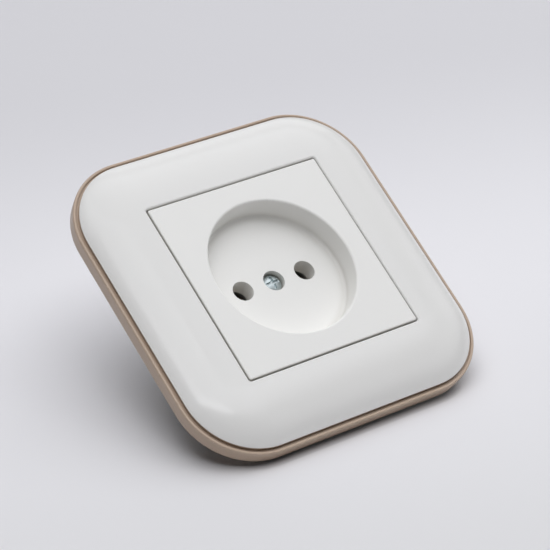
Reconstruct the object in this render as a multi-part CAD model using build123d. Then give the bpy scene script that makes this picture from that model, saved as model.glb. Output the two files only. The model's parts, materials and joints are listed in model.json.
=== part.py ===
from build123d import *
from math import cos, pi, radians, sin, tan
import os

# Unearthed flush wall socket for a round 60 mm wall box, in millimetres.
# Every piece is drawn face up: x to the right, y up the wall, z out of the wall, and z = 0 is the wall.
# stand() then turns it to its own frame, where the face looks along -Y and +Z is up.

# Running and seating clearances
pivot_gap = 0.05            # between a pin or screw and the hole that turns or slides on it
free_gap = 0.3              # between a fastener and a hole that it only passes through
slip_gap = 0.2              # between a moulded piece and the pocket that it drops into
spare = 1.0                 # how far a cut runs past the surface that it opens
near = 0.02                 # levels and radii this close count as the same

# White front frame
frame_width = 84.7
frame_corner_extra = 1.6    # outline radius of the corners beyond the width of one border
frame_front = 9.0           # height of the dome at the opening, above the wall
frame_edge = 4.3            # height of the dome at its outer edge
frame_rim = 0.2             # straight lip under the dome's outer edge
frame_wall = 1.9
edge_slope = 44.0           # degrees, slope of the dome where it meets the rim
opening_width = 52.25
opening_corner = 0.7
opening_round = 0.6         # rounding of the frame's edge round the opening
skirt_wall = 1.5            # square wall round the opening, which stands on the support frame
ledge_width = 2.4           # step inside the opening that the cover presses on
ledge_wall = 1.5
hook_width = 6.0
hook_wall = 1.2
hook_barb = 0.5
hook_barb_height = 0.8
hook_root = 1.5             # how far the hook reaches up into the frame's wall
hook_inset = 0.25           # from the frame's inner wall to the hook
hook_spacing = 30.0         # between the two hooks of one side
screw_notch_width = 18.0    # gap in the skirt over each claw screw
screw_notch_room = 1.2      # between the claw screw's head and the notch above it

# Beige back ring
ring_overhang = 1.45        # how far it stands out past the white frame's edge
ring_taper = 0.25           # its flank leans in by this much towards the wall
ring_shoulder = 3.1         # height where the flank meets the rounded top
ring_top = 3.75
ring_crest = 0.55           # from the widest outline in to the highest line of the rounded top
ring_lip = 0.82             # width of the rounded top
ring_lip_drop = 0.2         # its inner edge lies this much below the highest line
groove_floor = 3.15
rim_overhang = 0.15         # how far the white rim stands out past the upstand below it
upstand_wall = 1.2          # wall under the white rim
web_front = 2.9             # height of the flat web that ties the walls together
web_wall = 1.5
ring_depth = 6.25           # from the widest outline to the inner wall
inner_wall = 1.2

# Centre cover
cover_groove = 0.35         # open groove between the cover and the frame
cover_corner = 0.5
cover_edge_round = 0.4
cover_wall = 1.6
cover_rim = 1.4
cover_rim_drop = 1.0        # how far the rim stands down behind the cover's plate
recess_radius = 19.55
recess_draft = 0.25         # the recess floor is this much smaller in radius
recess_depth = 7.1
recess_rim_round = 0.6
recess_floor_round = 0.8
cup_wall = 1.6
pin_spacing = 19.0
pin_hole_radius = 2.8
collar_wall = 1.0
collar_reach = 5.0          # from the recess floor to the end of the pin collars
floor_wall = 0.95           # the collars and the screw well reach this far up into the floor
screw_well_radius = 2.9
well_wall = 1.6
well_floor = 1.5

# Screws
shank_chamfer = 0.4
slot_width = 0.7            # straight slot and arms of the cross in a claw or cover screw
slot_depth = 0.6
cross_length = 3.4
cross_taper = 6.0           # degrees, the cross narrows as it goes down
cover_screw_radius = 1.5
cover_head_radius = 2.6
cover_head_height = 1.6
cover_head_sink = 0.7       # top of the head below the recess floor
head_edge_height = 0.6      # straight edge of a domed head
cover_screw_length = 10.0
claw_screw_radius = 1.5
claw_head_radius = 2.5
claw_head_height = 1.9
claw_screw_length = 14.0
claw_cross_length = 3.2
terminal_screw_radius = 1.7
terminal_head_radius = 2.9
terminal_head_height = 1.7
terminal_screw_length = 7.4
terminal_head_round = 0.4
terminal_slot_width = 0.8
terminal_slot_depth = 0.5
guard_screw_radius = 1.1
guard_head_radius = 2.0
guard_slot_width = 0.6
guard_slot_depth = 0.5
guard_screw_length = 6.0
guard_screw_spacing = 14.6

# Pressed steel support frame
plate_margin = 2.05         # between the plate's edge and the back ring
plate_wall = 1.0
plate_corner_cut = 9.0
lip_corner_gap = 3.0        # length without a lip beside each cut corner
plate_lip = 2.0             # upturned edge
window_gap = 0.4            # between the cover's cup and the round window
box_screw_spacing = 60.0
box_slot_width = 4.2
box_slot_length = 6.2
rivet_radius = 1.5
rivet_head_radius = 2.4
rivet_head_height = 0.9
rivet_head_round = 0.7
rivet_tail_height = 0.7
rivet_circle_radius = 24.2

# Insulator base
flange_radius = 26.5
flange_wall = 4.2
base_width = 40.6
base_height = 24.0
base_depth = 20.5
base_corner = 2.5
base_back_round = 0.8
guard_width = 35.0
guard_height = 22.8
guard_wall = 1.6
guard_corner = 2.0
pocket_width = 8.2
pocket_low = -4.1
pocket_floor = -17.0
wire_hole_radius = 1.6
wire_hole_spacing = 4.8
wire_funnel_depth = 1.2
wire_funnel_flare = 0.9
wire_hole_lift = 8.4
core_depth = 12.0           # hollows moulded into the back
core_wall = 1.6

# Threaded bush
bush_seat_gap = 0.4         # from the end of the cover's screw well to the bush's pocket
bush_radius = 2.75
bush_sides = 6
bush_length = 7.0
bush_head_radius = 3.6
bush_head_height = 1.2

# Brass contacts
strip_wall = 0.8
sleeve_radius = 2.0
sleeve_front = -4.8
sleeve_slit = 1.1
sleeve_slit_angle = 30.0    # degrees, the slit's place round the sleeve
sleeve_mouth_flare = 0.5
sleeve_mouth_depth = 0.8
terminal_lift = 6.4         # height of the middle of the terminal plate above the pins
terminal_width = 6.6
leg_front = -7.6
terminal_axis_z = -11.6
thread_collar_radius = 2.6
thread_collar_length = 1.1
clamp_gap = 3.0             # room for the wires
clamp_wall = 1.1
clamp_length = 6.4
clamp_ridge_height = 0.6
clamp_ridge_width = 1.0
spring_wall = 0.6
spring_width = 1.9
spring_place = 0.5          # from the sleeve's mouth down to the spring

# Spreader claws
claw_axis_x = 20.9
claw_axis_z = -2.6
claw_pin_radius = 0.8
claw_pin_length = 13.0
claw_eye_radius = 1.8
claw_width = 9.2
claw_wall = 1.0
claw_screw_x = 24.3
claw_rest_angle = -27.0     # slope of the claw's lever at rest, degrees
claw_travel = 30.0
claw_lever = 5.4            # from the pin to the end of the lever
lever_heel = 0.9            # from the pin to the other end of the lever
lever_gap = 0.1             # between the pin and the lever above it
fork_root = 0.7
fork_half = 1.9             # half of the fork's opening, round the screw
wing_reach = 3.8            # side wings that tie the lever to the cheeks
wing_low = 1.2
claw_length = 13.4
cheek_inset = 0.35          # inner edge of a cheek, from the pin's axis inward
cheek_shoulder = 1.6        # from the pin's axis down to the top of that edge
cheek_slope_height = 3.5    # the cheek's inner corner is cut off at a slope this high
cheek_slope_width = 1.95
cheek_width = 3.4           # outer edge of a cheek above the teeth, from the pin's axis
cheek_neck_low = 7.0        # from the cheek's end up to the straight part of that edge
cheek_neck_high = 3.0       # from the pin's axis down to its top
tooth_count = 3
tooth_pitch = 1.5
tooth_height = 1.3
tooth_land = 0.15           # flat tip of each tooth
claw_tip_x = 28.2
nut_radius = 2.4
nut_seat_gap = 0.05
notch_width = 10.4          # gap in the base's flange that the claw works in

# Levels and half widths that follow
frame_half = frame_width / 2
opening_half = opening_width / 2
cover_half = opening_half - cover_groove
skirt_half = opening_half + skirt_wall
ledge_half = opening_half - ledge_width
base_half = base_width / 2
cover_rest = frame_front - cover_wall - cover_rim_drop
recess_floor = frame_front - recess_depth
cup_radius = recess_radius + cup_wall
window_radius = cup_radius + window_gap
pin_x = pin_spacing / 2
frame_corner = frame_half - opening_half + frame_corner_extra
ring_half = frame_half + ring_overhang
ring_corner = frame_corner + ring_overhang
plate_half = ring_half - ring_depth - plate_margin
hook_outer = frame_half - frame_wall - hook_inset
seat_level = frame_edge - frame_rim
web_back = web_front - web_wall
well_seat = recess_floor - cover_head_sink - cover_head_height
well_back = well_seat - well_floor
guard_half = guard_height / 2
clamp_low = terminal_lift + strip_wall / 2 + clamp_gap
clamp_high = clamp_low + clamp_wall
pocket_high = clamp_high + slip_gap
bush_seat = well_back - bush_seat_gap
bush_back = bush_seat - bush_length
lever_low = claw_pin_radius + lever_gap
guard_screw_seat = -guard_wall / 2
guard_screw_ys = (-guard_screw_spacing / 2, guard_screw_spacing / 2)


def stand(shape):
    """Turn a face-up piece so that it hangs on the wall."""
    return Rot(90, 0, 0) * shape


def save(name, shape):
    solid = stand(shape)
    solid.label = name
    export_step(solid, "parts/" + name + ".step")


def tower(half_x, half_y, low, high, corner=0.0):
    """Upright block on the z axis, with round vertical edges."""
    outline = Rectangle(2 * half_x, 2 * half_y)
    if corner > 0:
        outline = RectangleRounded(2 * half_x, 2 * half_y, corner)
    return Pos(0, 0, low) * extrude(outline, high - low)


def block(x, y, z):
    """Block from its limits along each axis."""
    middle = [(limit[0] + limit[1]) / 2 for limit in (x, y, z)]
    return Pos(*middle) * Box(x[1] - x[0], y[1] - y[0], z[1] - z[0])


def rod(radius, low, high, x=0.0, y=0.0):
    """Cylinder along z between two levels."""
    return Pos(x, y, (low + high) / 2) * Cylinder(radius, high - low)


def cone(low_radius, high_radius, low, high, x=0.0, y=0.0):
    """Cone along z between two levels."""
    return Pos(x, y, (low + high) / 2) * Cone(low_radius, high_radius, high - low)


def cross_rod(radius, length, x, z):
    """Cylinder along y, centred on the x axis plane."""
    return Pos(x, 0, z) * Rot(90, 0, 0) * Cylinder(radius, length)


def quarter_turns(shape):
    return [Rot(0, 0, 90 * turn) * shape for turn in range(4)]


def both_sides(shape):
    """The piece and its twin on the left."""
    return [shape, mirror(shape, Plane.YZ)]


def square_path(half, corner):
    """Closed rounded square that starts in the middle of its right side."""
    inner = half - corner
    lines = []
    for turn in range(4):
        start = Rot(0, 0, 90 * turn)
        lines.append(start * Line((half, 0), (half, inner)))
        lines.append(start * CenterArc((inner, inner), corner, 0, 90))
        lines.append(start * Line((inner, half), (0, half)))
    return Wire([edge for line in lines for edge in line.edges()])


def swept(lines, half, corner):
    """Sweep a section drawn in x and z round a rounded square."""
    section = Plane.XZ * make_face(lines)
    return sweep(section, path=square_path(half, corner))


def driven_head(shape, top, radius, width, depth, cross):
    """Cut a straight slot, and a cross that goes somewhat deeper, into a screw head that faces +z."""
    slot = block((-radius - spare, radius + spare), (-width / 2, width / 2), (top - depth, top + depth))
    arm = Pos(0, 0, top - 1.35 * depth) * extrude(Rectangle(cross, width), 3 * depth, taper=-cross_taper)
    return shape - [slot, arm, Rot(0, 0, 90) * arm]


def pointed_shank(radius, length, seat=0.0):
    """Plain shank below a head, with a chamfer at its end."""
    shank = rod(radius, seat - length, seat)
    return chamfer(shank.edges().group_by(Axis.Z)[0], shank_chamfer)


def dome_line(high, reach):
    """Outer curve of the pillow, from its rim in to the opening, at a given height above the rim."""
    start = (frame_half, frame_edge)
    end = (reach, high)
    slope = radians(edge_slope)
    return Spline([start, end], tangents=[(-cos(slope), sin(slope)), (-1, 0)])


def front_frame():
    inside = opening_half - spare
    hollow_foot = frame_half - frame_wall
    hollow_top = frame_front - frame_wall
    slope = radians(edge_slope)
    hollow_ends = [(skirt_half, hollow_top), (hollow_foot, seat_level)]
    section = Curve() + [
        Line((frame_half, seat_level), (frame_half, frame_edge)),
        dome_line(frame_front, opening_half),
        Line((opening_half, frame_front), (inside, frame_front)),
        Line((inside, frame_front), (inside, hollow_top)),
        Line((inside, hollow_top), (skirt_half, hollow_top)),
        Spline(hollow_ends, tangents=[(1, 0), (cos(slope), -sin(slope))]),
        Line((hollow_foot, seat_level), (frame_half, seat_level)),
    ]
    frame = swept(section, frame_half, frame_corner)
    skirt = tower(skirt_half, skirt_half, plate_wall, hollow_top + frame_wall / 2, opening_corner)
    frame = frame + skirt
    frame = frame - tower(opening_half, opening_half, cover_rest, 2 * frame_front, opening_corner)
    frame = frame - tower(ledge_half, ledge_half, -frame_front, frame_front, opening_corner)
    frame = frame - tower(opening_half, opening_half, 0, cover_rest - ledge_wall, opening_corner)
    notch_top = plate_wall + claw_head_height + screw_notch_room
    half_notch = screw_notch_width / 2
    notch = block((inside, skirt_half + spare), (-half_notch, half_notch), (0, notch_top))
    frame = frame - both_sides(notch)
    edges = frame.edges().filter_by(lambda edge: at_opening(edge, opening_half, frame_front))
    return fillet(edges, opening_round) + frame_hooks()


def at_opening(edge, half, level):
    """Whether an edge lies at this level on the outline of a centred square."""
    middle = edge.center()
    reach = max(abs(middle.X), abs(middle.Y))
    return abs(middle.Z - level) < near and abs(reach - half) < opening_corner / 2


def frame_hooks():
    """Snap hooks that reach through the ring's web."""
    outer = hook_outer
    inner = outer - hook_wall
    root = seat_level + hook_root
    catch = web_back - pivot_gap
    tip = catch - hook_barb_height
    profile = Polyline(
        (inner, root),
        (outer, root),
        (outer, catch),
        (outer + hook_barb, catch),
        (outer, tip),
        (inner, tip),
        (inner, root),
    )
    bar = extrude(Plane.XZ * make_face(profile), hook_width / 2, both=True)
    pair = [Pos(0, side * hook_spacing / 2, 0) * bar for side in (-1, 1)]
    return [hook for one in pair for hook in quarter_turns(one)]


def back_ring():
    flank_foot = ring_half - ring_taper
    lip_inner = ring_half - ring_lip
    lip_level = ring_top - ring_lip_drop
    upstand_outer = frame_half - rim_overhang
    upstand_inner = upstand_outer - upstand_wall
    inner = ring_half - ring_depth
    crest = (ring_half - ring_crest, ring_top)
    section = Curve() + [
        Line((flank_foot, 0), (ring_half, ring_shoulder)),
        Spline([(ring_half, ring_shoulder), crest, (lip_inner, lip_level)], tangents=[(0, 1), (-0.5, -1)]),
        Polyline(
            (lip_inner, lip_level),
            (lip_inner, groove_floor),
            (upstand_outer, groove_floor),
            (upstand_outer, seat_level),
            (upstand_inner, seat_level),
            (upstand_inner, web_front),
            (inner, web_front),
            (inner, 0),
            (inner + inner_wall, 0),
            (inner + inner_wall, web_back),
            (upstand_outer, web_back),
            (upstand_outer, 0),
            (flank_foot, 0),
        ),
    ]
    ring = swept(section, ring_half, ring_corner)
    slot = block(
        (hook_outer - hook_wall - slip_gap, hook_outer + slip_gap),
        (-hook_width / 2 - slip_gap, hook_width / 2 + slip_gap),
        (0, web_front + spare),
    )
    slots = [Pos(0, side * hook_spacing / 2, 0) * slot for side in (-1, 1)]
    return ring - [cut for one in slots for cut in quarter_turns(one)]


def centre_cover():
    cover = tower(cover_half, cover_half, cover_rest, frame_front, cover_corner)
    hollow_half = cover_half - cover_rim
    plate_back = frame_front - cover_wall
    cover = cover - tower(hollow_half, hollow_half, cover_rest - spare, plate_back, cover_corner)
    cover = cover + rod(cup_radius, 0, plate_back)
    cover = cover - cone(recess_radius - recess_draft, recess_radius, recess_floor, frame_front)
    root = recess_floor - floor_wall
    for x in (-pin_x, pin_x):
        cover = cover + rod(pin_hole_radius + collar_wall, recess_floor - collar_reach, root, x)
    cover = cover + rod(screw_well_radius + well_wall, well_back, root)
    for x in (-pin_x, pin_x):
        cover = cover - rod(pin_hole_radius, recess_floor - 2 * collar_reach, frame_front, x)
    cover = cover - rod(screw_well_radius, well_seat, frame_front)
    cover = cover - rod(cover_screw_radius + free_gap / 2, well_back - spare, frame_front)
    cover = fillet(circles(cover, recess_radius, frame_front), recess_rim_round)
    cover = fillet(circles(cover, recess_radius - recess_draft, recess_floor), recess_floor_round)
    edges = cover.edges().filter_by(lambda edge: at_opening(edge, cover_half, frame_front))
    return fillet(edges, cover_edge_round)


def circles(shape, radius, level):
    """Round edges of one radius about the middle, at one level."""
    return [
        edge
        for edge in shape.edges().filter_by(GeomType.CIRCLE)
        if abs(edge.radius - radius) < near and abs(edge.center().Z - level) < near
    ]


def domed_head(radius, low, height):
    """Screw head with a straight edge and a domed top."""
    crown = height - head_edge_height
    dome_radius = (radius ** 2 + crown ** 2) / (2 * crown)
    dome = Pos(0, 0, low + height - dome_radius) * Sphere(dome_radius)
    return rod(radius, low, low + height) & dome


def cover_screw():
    top = recess_floor - cover_head_sink
    head = domed_head(cover_head_radius, well_seat, cover_head_height)
    head = driven_head(head, top, cover_head_radius, slot_width, slot_depth, cross_length)
    return head + pointed_shank(cover_screw_radius, cover_screw_length, well_seat)


def support_frame():
    half = plate_half
    plate = tower(half, half, 0, plate_wall + plate_lip)
    plate = chamfer(plate.edges().filter_by(Axis.Z), plate_corner_cut)
    tray = tower(half - plate_wall, half - plate_wall, plate_wall, 2 * plate_lip + plate_wall)
    tray = chamfer(tray.edges().filter_by(Axis.Z), plate_corner_cut)
    plate = plate - tray
    bare = (half - plate_corner_cut - lip_corner_gap, half + spare)
    plate = plate - quarter_turns(block(bare, bare, (plate_wall, 3 * plate_lip)))
    plate = plate - rod(window_radius, -spare, plate_wall + spare)
    slot = extrude(SlotOverall(box_slot_length, box_slot_width), 2 * plate_wall, both=True)
    plate = plate - quarter_turns(Pos(box_screw_spacing / 2, 0, 0) * slot)
    plate = plate - both_sides(rod(claw_screw_radius + slip_gap, -spare, plate_wall + spare, claw_screw_x))
    return plate - rivet_places(rod(rivet_radius, -spare, plate_wall + spare))


def rivet_places(shape):
    offset = rivet_circle_radius * cos(pi / 4)
    return quarter_turns(Pos(offset, offset, 0) * shape)


def frame_rivets():
    shank = rod(rivet_radius, -flange_wall, plate_wall)
    head = rod(rivet_head_radius, plate_wall, plate_wall + rivet_head_height)
    head = fillet(head.edges().group_by(Axis.Z)[-1], rivet_head_round)
    tail = cone(rivet_radius, rivet_head_radius, -flange_wall - rivet_tail_height, -flange_wall)
    return Part() + rivet_places(shank + head + tail)


def insulator_base():
    flange = rod(flange_radius, -flange_wall, 0)
    body = tower(base_half, base_height / 2, -base_depth, -flange_wall / 2, base_corner)
    body = fillet(body.edges().group_by(Axis.Z)[0], base_back_round)
    claw_room_x = (claw_axis_x - claw_eye_radius - free_gap, flange_radius + spare)
    claw_room = block(claw_room_x, (-notch_width / 2, notch_width / 2), (-flange_wall - spare, spare))
    base = flange + body - both_sides(claw_room)
    base = base - both_sides(cross_rod(claw_pin_radius, claw_pin_length, claw_axis_x, claw_axis_z))
    base = base - tower(guard_width / 2 + slip_gap, guard_half + slip_gap, -guard_wall, spare, guard_corner)
    base = base - both_sides(pole_pocket())
    base = base - rod(screw_well_radius + well_wall + slip_gap, bush_seat, spare)
    base = base - rod(bush_radius, -base_depth - spare, spare)
    base = base - rod(bush_head_radius, -base_depth - spare, bush_back + bush_head_height)
    screw_end = guard_screw_seat - guard_screw_length
    base = base - [rod(guard_screw_radius, screw_end, spare, 0, y) for y in guard_screw_ys]
    base = base - rivet_places(rod(rivet_radius, -flange_wall - spare, spare))
    return base - back_hollows()


def pole_pocket():
    """Room for one contact, its clamp and wires, open to the front and for the screw at the top."""
    low_x = pin_x - pocket_width / 2
    high_x = pin_x + pocket_width / 2
    room = block((low_x, high_x), (pocket_low, pocket_high), (pocket_floor, spare))
    reach = terminal_head_radius + slip_gap
    shaft_z = (terminal_axis_z - reach, terminal_axis_z + reach)
    shaft = block((pin_x - reach, pin_x + reach), (0, base_height), shaft_z)
    cuts = [room, shaft]
    mouth = wire_hole_radius + wire_funnel_flare
    funnel_end = -base_depth + wire_funnel_depth
    for side in (-1, 1):
        x = pin_x + side * wire_hole_spacing / 2
        cuts.append(rod(wire_hole_radius, -base_depth - spare, pocket_floor + spare, x, wire_hole_lift))
        cuts.append(cone(mouth, wire_hole_radius, -base_depth, funnel_end, x, wire_hole_lift))
    return Part() + cuts


def back_hollows():
    """Moulding hollows in the back, between the walls."""
    z = (-base_depth - spare, -base_depth + core_depth)
    outer_x = base_half - core_wall
    inner_x = pin_x + pocket_width / 2 + core_wall
    low_y = -base_height / 2 + core_wall
    side = block((inner_x, outer_x), (core_wall / 2, base_height / 2 - 2 * core_wall), z)
    lower = block((inner_x, outer_x), (low_y, -core_wall / 2), z)
    under = block((bush_head_radius + core_wall, inner_x - core_wall), (low_y, pocket_low - core_wall), z)
    return both_sides(side) + both_sides(lower) + both_sides(under)


def contact_guard():
    guard = tower(guard_width / 2, guard_half, -guard_wall, 0, guard_corner)
    back = -guard_wall - spare
    for x in (-pin_x, pin_x):
        guard = guard - rod(pin_hole_radius + collar_wall + slip_gap, back, spare, x)
    guard = guard - rod(screw_well_radius + well_wall + slip_gap, back, spare)
    for y in guard_screw_ys:
        guard = guard - rod(guard_screw_radius + slip_gap, back, spare, 0, y)
        guard = guard - rod(guard_head_radius + slip_gap, guard_screw_seat, spare, 0, y)
    return guard


def guard_screws():
    reach = guard_head_radius + spare
    half_slot = guard_slot_width / 2
    head = rod(guard_head_radius, guard_screw_seat, 0)
    head = head - block((-reach, reach), (-half_slot, half_slot), (-guard_slot_depth, spare))
    screw = head + rod(guard_screw_radius, guard_screw_seat - guard_screw_length, guard_screw_seat)
    return Part() + [Pos(0, y, 0) * screw for y in guard_screw_ys]


def threaded_bush():
    front = bush_back + bush_length
    bush = rod(bush_radius, bush_back, front)
    flange = Pos(0, 0, bush_back) * extrude(RegularPolygon(bush_head_radius, bush_sides), bush_head_height)
    return bush + flange - rod(cover_screw_radius + pivot_gap, bush_back - spare, front + spare)


def pole_contact():
    """Folded strip: a split sleeve round the pin, a leg up its inner side and the terminal plate."""
    outer = sleeve_radius + strip_wall
    depth = sleeve_front - pocket_floor
    ring = Circle(outer) - Circle(sleeve_radius)
    slit = Pos(outer, sleeve_slit / 2) * Rot(0, 0, sleeve_slit_angle) * Rectangle(2 * outer, sleeve_slit)
    sleeve = Pos(pin_x, 0, pocket_floor) * extrude(ring - slit, depth)
    mouth_radius = sleeve_radius + sleeve_mouth_flare
    mouth_low = sleeve_front - sleeve_mouth_depth
    sleeve = sleeve - cone(sleeve_radius, mouth_radius, mouth_low, sleeve_front, pin_x)
    leg_x = (pin_x - outer, pin_x - sleeve_radius)
    plate_y = (terminal_lift - strip_wall / 2, terminal_lift + strip_wall / 2)
    z = (pocket_floor, leg_front)
    leg = block(leg_x, (0, plate_y[1]), z)
    plate = block((leg_x[0], leg_x[0] + terminal_width), plate_y, z)
    collar = upright_rod(thread_collar_radius, plate_y[0] - thread_collar_length, plate_y[0])
    bore_end = plate_y[0] - thread_collar_length - spare
    bore = upright_rod(terminal_screw_radius + pivot_gap / 2, bore_end, plate_y[1] + spare)
    return sleeve + leg + plate + collar - bore


def upright_rod(radius, low, high):
    """Cylinder on the terminal screw's axis, between two heights above the pins."""
    return Pos(pin_x, (low + high) / 2, terminal_axis_z) * Rot(90, 0, 0) * Cylinder(radius, high - low)


def sleeve_spring():
    inner = sleeve_radius + strip_wall
    ring = Circle(inner + spring_wall) - Circle(inner)
    ring = ring - Pos(inner, 0) * Rectangle(3 * spring_wall, sleeve_slit)
    top = sleeve_front - spring_place
    return Pos(pin_x, 0, top - spring_width) * extrude(ring, spring_width)


def clamp_saddle():
    """Saddle washer over the wires, with its ends turned down to hold them."""
    middle = Pos(pin_x, clamp_low, terminal_axis_z)
    saddle = middle * Pos(0, clamp_wall / 2, 0) * Box(terminal_width, clamp_wall, clamp_length)
    ridge = Box(terminal_width, clamp_ridge_height, clamp_ridge_width)
    ridge = middle * Pos(0, -clamp_ridge_height / 2, 0) * ridge
    offset = (clamp_length - clamp_ridge_width) / 2
    ridges = [Pos(0, 0, side * offset) * ridge for side in (-1, 1)]
    bore = upright_rod(terminal_screw_radius + slip_gap, clamp_low - spare, clamp_high + spare)
    return saddle + ridges - bore


def terminal_screw():
    """Upright screw over the middle of the terminal plate, its head up."""
    head = rod(terminal_head_radius, 0, terminal_head_height)
    head = fillet(head.edges().group_by(Axis.Z)[-1], terminal_head_round)
    drive = (terminal_slot_width, terminal_slot_depth, cross_length)
    head = driven_head(head, terminal_head_height, terminal_head_radius, *drive)
    screw = head + pointed_shank(terminal_screw_radius, terminal_screw_length)
    return Pos(pin_x, clamp_high, terminal_axis_z) * Rot(-90, 0, 0) * screw


def claw_side():
    """Toothed cheek of the claw at rest, in x and z."""
    inner_x = claw_axis_x - cheek_inset
    outer_x = claw_axis_x + cheek_width
    root_x = claw_tip_x - tooth_height
    tip_z = claw_axis_z - claw_length
    points = [
        (inner_x, claw_axis_z - cheek_shoulder),
        (inner_x, tip_z + cheek_slope_height),
        (inner_x + cheek_slope_width, tip_z),
        (root_x, tip_z),
    ]
    for tooth in range(tooth_count):
        z = tip_z + tooth * tooth_pitch
        points.append((claw_tip_x, z + tooth_land))
        points.append((root_x, z + tooth_pitch))
    points.append((outer_x, tip_z + cheek_neck_low))
    points.append((outer_x, claw_axis_z - cheek_neck_high))
    arm = make_face(Polyline(*points, points[0]))
    return arm + Pos(claw_axis_x, claw_axis_z) * Circle(claw_eye_radius)


def spreader_claw():
    """Two toothed cheeks on the pin, tied by a forked lever in front of it."""
    half = claw_width / 2
    lever_high = lever_low + claw_wall
    cheek = extrude(Plane.XZ * claw_side(), claw_wall)
    turn = Pos(claw_axis_x, 0, claw_axis_z) * Rot(0, -claw_rest_angle, 0)
    lever = turn * block((-lever_heel, claw_lever), (-half, half), (lever_low, lever_high))
    fork_z = (lever_low - spare, lever_high + spare)
    fork = turn * block((fork_root, claw_lever + spare), (-fork_half, fork_half), fork_z)
    wing_z = (-wing_low, lever_low + claw_wall / 2)
    wing = turn * block((-lever_heel, wing_reach), (half - claw_wall, half), wing_z)
    claw = Pos(0, half, 0) * cheek + Pos(0, claw_wall - half, 0) * cheek + wing + mirror(wing, Plane.XZ)
    claw = claw + (lever - fork)
    return claw - cross_rod(claw_pin_radius + pivot_gap, claw_width + spare, claw_axis_x, claw_axis_z)


def claw_pin():
    return cross_rod(claw_pin_radius, claw_pin_length, claw_axis_x, claw_axis_z)


def nut_level(angle):
    """Height of the barrel nut's axis when it touches the lever at this slope."""
    slope = radians(angle)
    reach = claw_screw_x - claw_axis_x
    return claw_axis_z + reach * tan(slope) - (nut_radius - lever_low) / cos(slope)


def claw_nut():
    level = nut_level(claw_rest_angle) - nut_seat_gap
    length = claw_width - 2 * claw_wall - 2 * slip_gap
    barrel = cross_rod(nut_radius, length, claw_screw_x, level)
    reach = nut_radius + spare
    return barrel - rod(claw_screw_radius + pivot_gap, level - reach, level + reach, claw_screw_x)


def claw_screw():
    head = domed_head(claw_head_radius, plate_wall, claw_head_height)
    top = plate_wall + claw_head_height
    head = driven_head(head, top, claw_head_radius, slot_width, slot_depth, claw_cross_length)
    screw = head + pointed_shank(claw_screw_radius, claw_screw_length, plate_wall)
    return Pos(claw_screw_x, 0, 0) * screw


os.makedirs("parts", exist_ok=True)

single_pieces = {
    "front_frame": front_frame,
    "back_ring": back_ring,
    "centre_cover": centre_cover,
    "cover_screw": cover_screw,
    "support_frame": support_frame,
    "frame_rivets": frame_rivets,
    "insulator_base": insulator_base,
    "contact_guard": contact_guard,
    "guard_screws": guard_screws,
    "threaded_bush": threaded_bush,
}
paired_pieces = {
    "contact": pole_contact,
    "sleeve_spring": sleeve_spring,
    "clamp": clamp_saddle,
    "terminal_screw": terminal_screw,
    "claw": spreader_claw,
    "claw_pin": claw_pin,
    "claw_nut": claw_nut,
    "claw_screw": claw_screw,
}
for name, make in single_pieces.items():
    save(name, make())
for name, make in paired_pieces.items():
    right, left = both_sides(make())
    save("right_" + name, right)
    save("left_" + name, left)
print("claw nut travel", round(nut_level(claw_rest_angle + claw_travel) - nut_level(claw_rest_angle), 3))
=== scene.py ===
import json
from math import cos, radians, sin

import bpy
from mathutils import Matrix, Vector

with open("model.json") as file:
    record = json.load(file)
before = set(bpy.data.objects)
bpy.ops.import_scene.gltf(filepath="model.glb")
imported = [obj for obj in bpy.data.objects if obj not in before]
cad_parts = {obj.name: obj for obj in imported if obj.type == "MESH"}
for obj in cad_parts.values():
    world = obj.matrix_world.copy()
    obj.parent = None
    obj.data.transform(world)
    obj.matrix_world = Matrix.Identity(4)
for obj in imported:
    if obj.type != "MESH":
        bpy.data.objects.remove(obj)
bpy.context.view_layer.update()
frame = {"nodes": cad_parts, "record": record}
nodes = frame["nodes"]

# Camera, fitted to the cover's corners, the pin holes and the screw in the photograph
camera_place = Vector((-0.35666, -0.53062, -0.23294))
camera_forward = Vector((0.52613, 0.77749, 0.34451)).normalized()
camera_up_hint = Vector((0.27478, -0.53881, 0.79635))
camera_lens = 177.23
camera_sensor = 36.0
camera_nearest = 0.01
camera_farthest = 20.0

# The socket lies on its back on a table that tilts by this angle from the wall plane
table_tilt = radians(33.0)
table_up = Vector((0, -cos(table_tilt), sin(table_tilt)))
table_gap = 0.0009
table_half_size = 1.5

# Directions on the table, as the camera sees them
view_flat = (camera_forward - table_up * camera_forward.dot(table_up)).normalized()
view_right = view_flat.cross(table_up)

# Painted light on the table: its colour changes from near to far, lightest between the two ends, at these
# distances from the socket's middle
table_near_colour = (0.715, 0.71, 0.712)
table_colour = (0.80, 0.791, 0.81)
table_far_colour = (0.66, 0.652, 0.67)
table_near_end, table_middle, table_far_end = -0.15, 0.03, 0.2
table_fade_lean = 0.3
table_fade_direction = view_flat - view_right * table_fade_lean
table_cloud_scale = 3.0
table_cloud_tint = (0.98, 0.98, 0.98)
table_roughness = 0.75
table_specular = 0.2
# Painted shadow on the table right under the socket: its reach and its darkest tint
table_shadow_paint_reach = 0.0025
table_painted_shadow_tint = (0.1, 0.1, 0.1)

# Surface detail of the socket, with scales in features per metre
cloud_scale = 60.0
patch_scale = 240.0
metal_tint_scale = 300.0
# Painted shade in the socket's corners and holes: its reach, and a faint and a warm tint
painted_shade_reach = 0.0024
faint_painted_shade = (0.9, 0.9, 0.9)
warm_painted_shade = (0.62, 0.60, 0.56)
plastic_roughness_range = (0.9, 1.1)
metal_roughness_range = (0.8, 1.25)
plastic_bump_strength = 0.25
metal_bump_strength = 0.3
fine_grain = 5000.0
fine_grain_depth = 0.00001
coarse_grain_depth = 0.00002

# Lamps, placed from the socket's middle along the table's axes
ceiling_height = 1.2
low_lamp_height = 0.5
low_lamp_depth = 0.5
lamp_colour = (0.99, 1.0, 1.03)

world_colour = (0.97, 0.98, 1.0)
world_strength = 0.043
backdrop_colour = (0.70, 0.695, 0.72)


# Node helpers


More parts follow.
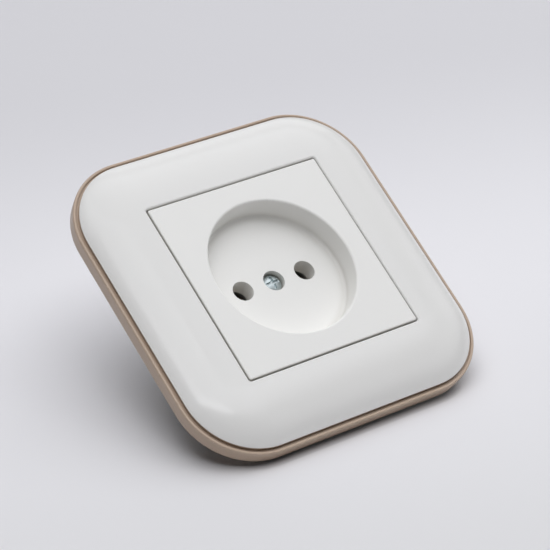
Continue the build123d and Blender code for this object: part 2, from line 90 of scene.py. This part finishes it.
def new_material(name):
    material = bpy.data.materials.new(name)
    material.use_nodes = True
    tree = material.node_tree
    return material, tree, tree.nodes["Principled BSDF"]


def add_node(tree, kind, **values):
    node = tree.nodes.new(kind)
    for key, value in values.items():
        setattr(node, key, value)
    return node


def object_coordinates(tree):
    return add_node(tree, "ShaderNodeTexCoord").outputs["Object"]


def noise(tree, place, scale, detail=3.0, roughness=0.5):
    node = add_node(tree, "ShaderNodeTexNoise")
    node.inputs["Scale"].default_value = scale
    node.inputs["Detail"].default_value = detail
    node.inputs["Roughness"].default_value = roughness
    tree.links.new(place, node.inputs["Vector"])
    return node.outputs["Fac"]


def vary_roughness(tree, shader, value, roughness, shares):
    """Let the roughness follow a 0 to 1 value, between two shares of its plain size."""
    node = add_node(tree, "ShaderNodeMapRange")
    node.inputs["To Min"].default_value = roughness * shares[0]
    node.inputs["To Max"].default_value = roughness * shares[1]
    tree.links.new(value, node.inputs["Value"])
    tree.links.new(node.outputs["Result"], shader.inputs["Roughness"])


def blend_colours(tree, value, first, second):
    node = add_node(tree, "ShaderNodeMix", data_type="RGBA")
    node.inputs["A"].default_value = (*first, 1)
    node.inputs["B"].default_value = (*second, 1)
    tree.links.new(value, node.inputs["Factor"])
    return node.outputs["Result"]


def multiply_colours(tree, first, second):
    node = add_node(tree, "ShaderNodeMix", data_type="RGBA", blend_type="MULTIPLY")
    node.inputs["Factor"].default_value = 1.0
    tree.links.new(first, node.inputs["A"])
    tree.links.new(second, node.inputs["B"])
    return node.outputs["Result"]


def paint_corner_shade(tree, colour, reach, deepest):
    """Paint shade into a colour where other surfaces stand closer than the reach, as in corners and holes.
    """
    corners = add_node(tree, "ShaderNodeAmbientOcclusion")
    corners.inputs["Distance"].default_value = reach
    shade = blend_colours(tree, corners.outputs["AO"], deepest, (1, 1, 1))
    return multiply_colours(tree, colour, shade)


def bump(tree, shader, height, strength, distance):
    node = add_node(tree, "ShaderNodeBump")
    node.inputs["Strength"].default_value = strength
    node.inputs["Distance"].default_value = distance
    tree.links.new(height, node.inputs["Height"])
    tree.links.new(node.outputs["Normal"], shader.inputs["Normal"])


# Materials of the socket


def moulded_plastic(name, colour, tint, roughness, grain, grain_depth, painted_shade_tint=faint_painted_shade):
    """Moulded plastic: faint colour clouds, painted shade in corners and holes, a roughness that wanders,
    and a fine surface grain.
    """
    material, tree, shader = new_material(name)
    place = object_coordinates(tree)
    clouds = noise(tree, place, cloud_scale, detail=2.0)
    cloudy = blend_colours(tree, clouds, colour, tint)
    tree.links.new(paint_corner_shade(tree, cloudy, painted_shade_reach, painted_shade_tint), shader.inputs["Base Color"])
    patches = noise(tree, place, patch_scale, detail=4.0)
    vary_roughness(tree, shader, patches, roughness, plastic_roughness_range)
    surface_grain = noise(tree, place, grain, detail=5.0, roughness=0.6)
    bump(tree, shader, surface_grain, plastic_bump_strength, grain_depth)
    return material


def metal(name, colour, tint, roughness, grain=2500.0, stretch=(1, 1, 1)):
    """Metal with a roughness that wanders in streaks, which run across the axis of the largest stretch."""
    material, tree, shader = new_material(name)
    place = object_coordinates(tree)
    mapping = add_node(tree, "ShaderNodeMapping")
    mapping.inputs["Scale"].default_value = stretch
    tree.links.new(place, mapping.inputs["Vector"])
    streaks = noise(tree, mapping.outputs["Vector"], grain, detail=4.0)
    tarnish = noise(tree, place, metal_tint_scale)
    tree.links.new(blend_colours(tree, tarnish, colour, tint), shader.inputs["Base Color"])
    vary_roughness(tree, shader, streaks, roughness, metal_roughness_range)
    shader.inputs["Metallic"].default_value = 1.0
    bump(tree, shader, streaks, metal_bump_strength, coarse_grain_depth)
    return material


def white_gloss():
    colour, tint = (0.79, 0.781, 0.758), (0.78, 0.771, 0.748)
    return moulded_plastic("gloss_white", colour, tint, 0.22, grain=900.0, grain_depth=0.000004)


def white_matt():
    colour, tint = (0.85, 0.841, 0.812), (0.84, 0.831, 0.802)
    # The matt white carries the warmer, deeper painted shade, in the recess and the pin holes
    return moulded_plastic("matt_white", colour, tint, 0.45, 9000.0, fine_grain_depth, warm_painted_shade)


def beige_satin():
    colour, tint = (0.52, 0.40, 0.305), (0.49, 0.375, 0.285)
    return moulded_plastic("satin_beige", colour, tint, 0.34, fine_grain, fine_grain_depth)


def insulator_white():
    colour, tint = (0.72, 0.72, 0.69), (0.69, 0.69, 0.66)
    return moulded_plastic("insulator", colour, tint, 0.5, fine_grain, coarse_grain_depth)


def guard_black():
    colour, tint = (0.035, 0.035, 0.037), (0.05, 0.05, 0.05)
    return moulded_plastic("guard", colour, tint, 0.45, fine_grain, coarse_grain_depth)


def zinc_screw():
    return metal("zinc_screw", (0.62, 0.68, 0.69), (0.50, 0.56, 0.57), 0.5)


def zinc_plate():
    return metal("zinc_plate", (0.62, 0.64, 0.65), (0.55, 0.57, 0.58), 0.32, 1500.0, (1, 1, 8))


def brass():
    return metal("brass", (0.80, 0.60, 0.28), (0.74, 0.54, 0.25), 0.25, 2000.0, (1, 1, 6))


def spring_steel():
    return metal("spring_steel", (0.42, 0.43, 0.45), (0.36, 0.37, 0.39), 0.3, stretch=(1, 1, 5))


def claw_steel():
    return metal("claw_steel", (0.66, 0.61, 0.48), (0.58, 0.54, 0.44), 0.3, 1500.0, (8, 1, 1))


def dress_nodes():
    """Give each CAD node the material of its slot in the record."""
    makers = {
        "white_gloss": white_gloss,
        "white_matt": white_matt,
        "beige_satin": beige_satin,
        "insulator_white": insulator_white,
        "guard_black": guard_black,
        "zinc_screw": zinc_screw,
        "zinc_plate": zinc_plate,
        "brass": brass,
        "spring_steel": spring_steel,
        "claw_steel": claw_steel,
    }
    materials = {slot: make() for slot, make in makers.items()}
    for row in frame["record"]["subparts"]:
        mesh = nodes[row["node"]].data
        mesh.materials.clear()
        mesh.materials.append(materials[row["material_slot"]])


# Table


def lowest_along(direction):
    return min(direction.dot(v.co) for n in nodes.values() for v in n.data.vertices)


def table_painted_light(tree, place):
    """Table colour that changes from near to far through three colours, lightest in the middle, as painted
    light.
    """
    slope = add_node(tree, "ShaderNodeVectorMath", operation="DOT_PRODUCT")
    slope.inputs[1].default_value = table_fade_direction
    tree.links.new(place, slope.inputs[0])
    reach = add_node(tree, "ShaderNodeMapRange")
    reach.inputs["From Min"].default_value = table_near_end
    reach.inputs["From Max"].default_value = table_far_end
    tree.links.new(slope.outputs["Value"], reach.inputs["Value"])
    ramp = add_node(tree, "ShaderNodeValToRGB")
    ramp.color_ramp.interpolation = "EASE"
    middle = (table_middle - table_near_end) / (table_far_end - table_near_end)
    ramp.color_ramp.elements.new(middle)
    stops = ((0.0, table_near_colour), (middle, table_colour), (1.0, table_far_colour))
    for element, (position, colour) in zip(ramp.color_ramp.elements, stops):
        element.position = position
        element.color = (*colour, 1)
    tree.links.new(reach.outputs["Result"], ramp.inputs["Fac"])
    return ramp.outputs["Color"]


def table_material():
    """Pale matt table, seen through from below, with painted light across it and a painted shadow right
    under the socket.
    """
    material, tree, shader = new_material("table")
    place = object_coordinates(tree)
    clouds = noise(tree, place, table_cloud_scale, detail=2.0)
    mottle = blend_colours(tree, clouds, (1, 1, 1), table_cloud_tint)
    mottled = multiply_colours(tree, table_painted_light(tree, place), mottle)
    # Painted shadow right under the socket
    with_painted_shadow = paint_corner_shade(tree, mottled, table_shadow_paint_reach, table_painted_shadow_tint)
    tree.links.new(with_painted_shadow, shader.inputs["Base Color"])
    shader.inputs["Roughness"].default_value = table_roughness
    shader.inputs["Specular IOR Level"].default_value = table_specular
    see_through = add_node(tree, "ShaderNodeBsdfTransparent")
    sides = add_node(tree, "ShaderNodeMixShader")
    tree.links.new(add_node(tree, "ShaderNodeNewGeometry").outputs["Backfacing"], sides.inputs["Fac"])
    tree.links.new(shader.outputs["BSDF"], sides.inputs[1])
    tree.links.new(see_through.outputs["BSDF"], sides.inputs[2])
    tree.links.new(sides.outputs["Shader"], tree.nodes["Material Output"].inputs["Surface"])
    return material


def add_table():
    """Square table just under the socket's lowest points. The small gap softens the shadow at its foot."""
    across = Vector((1, 0, 0)) * table_half_size
    along = table_up.cross(across)
    centre = table_up * (lowest_along(table_up) - table_gap)
    corners = [centre + across * x + along * y for x, y in ((-1, -1), (1, -1), (1, 1), (-1, 1))]
    mesh = bpy.data.meshes.new("table")
    mesh.from_pydata([tuple(corner) for corner in corners], [], [(0, 1, 2, 3)])
    mesh.materials.append(table_material())
    table = bpy.data.objects.new("table", mesh)
    bpy.context.scene.collection.objects.link(table)


# Camera, lamps and world


def face_along(direction, up):
    """Rotation that turns -Z to the direction, with local Y as near as it can be to up."""
    back = -direction.normalized()
    side = up.cross(back).normalized()
    top = back.cross(side)
    return Matrix((side, top, back)).transposed().to_4x4()


def from_table(right, away, up):
    """Place from the table's own axes: right and away as the camera sees them, and up."""
    return view_right * right + view_flat * away + table_up * up


def add_camera():
    data = bpy.data.cameras.new("camera")
    data.lens = camera_lens
    data.sensor_width = camera_sensor
    data.clip_start = camera_nearest
    data.clip_end = camera_farthest
    camera = bpy.data.objects.new("camera", data)
    bpy.context.scene.collection.objects.link(camera)
    camera.matrix_world = Matrix.Translation(camera_place) @ face_along(camera_forward, camera_up_hint)
    bpy.context.scene.camera = camera


def soft_lamp(name, place, direction, up, width, height, power):
    """Soft box at a place, facing along a direction."""
    data = bpy.data.lights.new(name, "AREA")
    data.shape = "RECTANGLE"
    data.size = width
    data.size_y = height
    data.energy = power
    data.color = lamp_colour
    lamp = bpy.data.objects.new(name, data)
    bpy.context.scene.collection.objects.link(lamp)
    lamp.matrix_world = Matrix.Translation(place) @ face_along(direction, up)


def ceiling_lamp(name, right, away, width, depth, power):
    """Soft box that hangs level over the table."""
    soft_lamp(name, from_table(right, away, ceiling_height), -table_up, view_flat, width, depth, power)


def low_lamp(name, right, away, width, power):
    """Soft box that stands low beside the table and looks at the middle of the socket."""
    place = from_table(right, away, low_lamp_height)
    soft_lamp(name, place, -place, table_up, width, low_lamp_depth, power)


def add_lamps():
    """Large soft light from overhead, brightest a little toward the camera, with weak low lamps round it."""
    ceiling_lamp("key", right=0.2, away=-0.22, width=1.2, depth=0.8, power=5.5)
    ceiling_lamp("front", right=0.05, away=-0.68, width=0.9, depth=0.24, power=3.5)
    ceiling_lamp("core", right=-0.3, away=0.0, width=0.5, depth=0.6, power=1.1)
    ceiling_lamp("wide", right=0.15, away=0.4, width=1.9, depth=1.9, power=16.3)
    low_lamp("back", right=0.0, away=1.1, width=1.0, power=1.2)
    low_lamp("back_right", right=0.9, away=0.8, width=0.8, power=0.7)
    low_lamp("right", right=1.1, away=0.0, width=0.8, power=0.7)
    low_lamp("left", right=-1.1, away=0.0, width=0.8, power=0.2)


def add_world():
    """Weak, even light all round, with a pale backdrop for the camera alone."""
    world = bpy.data.worlds.new("world")
    bpy.context.scene.world = world
    world.use_nodes = True
    tree = world.node_tree
    light = tree.nodes["Background"]
    light.inputs["Color"].default_value = (*world_colour, 1)
    light.inputs["Strength"].default_value = world_strength
    backdrop = add_node(tree, "ShaderNodeBackground")
    backdrop.inputs["Color"].default_value = (*backdrop_colour, 1)
    seen = add_node(tree, "ShaderNodeMixShader")
    tree.links.new(add_node(tree, "ShaderNodeLightPath").outputs["Is Camera Ray"], seen.inputs["Fac"])
    tree.links.new(light.outputs["Background"], seen.inputs[1])
    tree.links.new(backdrop.outputs["Background"], seen.inputs[2])
    tree.links.new(seen.outputs["Shader"], tree.nodes["World Output"].inputs["Surface"])


dress_nodes()
add_table()
add_camera()
add_lamps()
add_world()
bpy.context.scene.view_settings.view_transform = "Standard"
